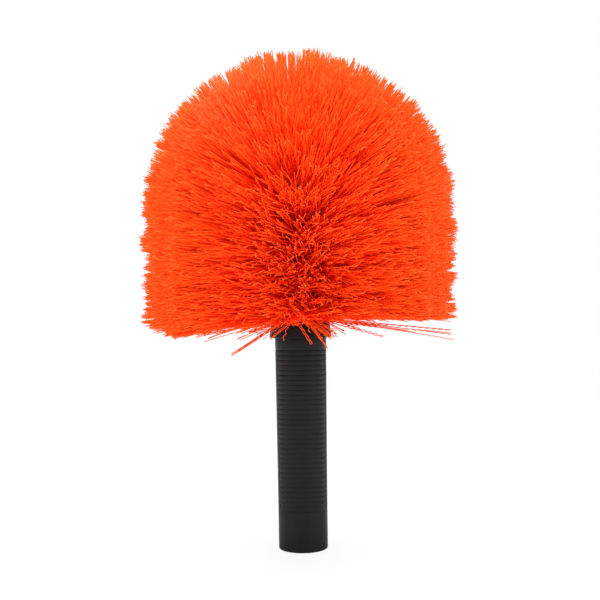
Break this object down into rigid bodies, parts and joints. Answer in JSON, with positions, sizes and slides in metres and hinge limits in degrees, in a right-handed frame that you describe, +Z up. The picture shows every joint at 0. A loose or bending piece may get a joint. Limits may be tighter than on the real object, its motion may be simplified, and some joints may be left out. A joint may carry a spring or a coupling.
{
  "type": "cobweb brush",
  "caption": "Domed round cobweb brush head with splayed bristle tufts on a drilled block, carried by a ribbed socket handle that pushes onto a pole.",
  "frame": {"origin": "centre of the handle's open mouth, on the brush's axis", "axes": "+Z up the brush's axis, from the handle's mouth to the crown of the bristle; the brush is round about it, and +Y points away from the picture's viewer"},
  "size_m": [0.1987, 0.1982, 0.3149],
  "materials": {
    "handle_plastic": "moulded, softly satin",
    "block_plastic": "moulded, matte",
    "screw_steel": "zinc plated",
    "anchor_wire": "galvanised wire",
    "bristle": "extruded filament, slightly translucent, crimped"
  },
  "bodies": {
    "root": {"socket_handle": "handle_plastic", "brush_block": "block_plastic", "fixing_screw": "screw_steel", "screw_washer": "screw_steel", "tuft_anchors": "anchor_wire", "tuft_row_1": "bristle", "tuft_row_2": "bristle", "tuft_row_3": "bristle", "tuft_row_4": "bristle", "tuft_row_5": "bristle", "tuft_row_6": "bristle", "tuft_row_7": "bristle", "tuft_row_8": "bristle", "tuft_row_9": "bristle", "tuft_row_10": "bristle", "shoulder_tufts": "bristle", "crown_tufts": "bristle"}
  },
  "joints": []
}
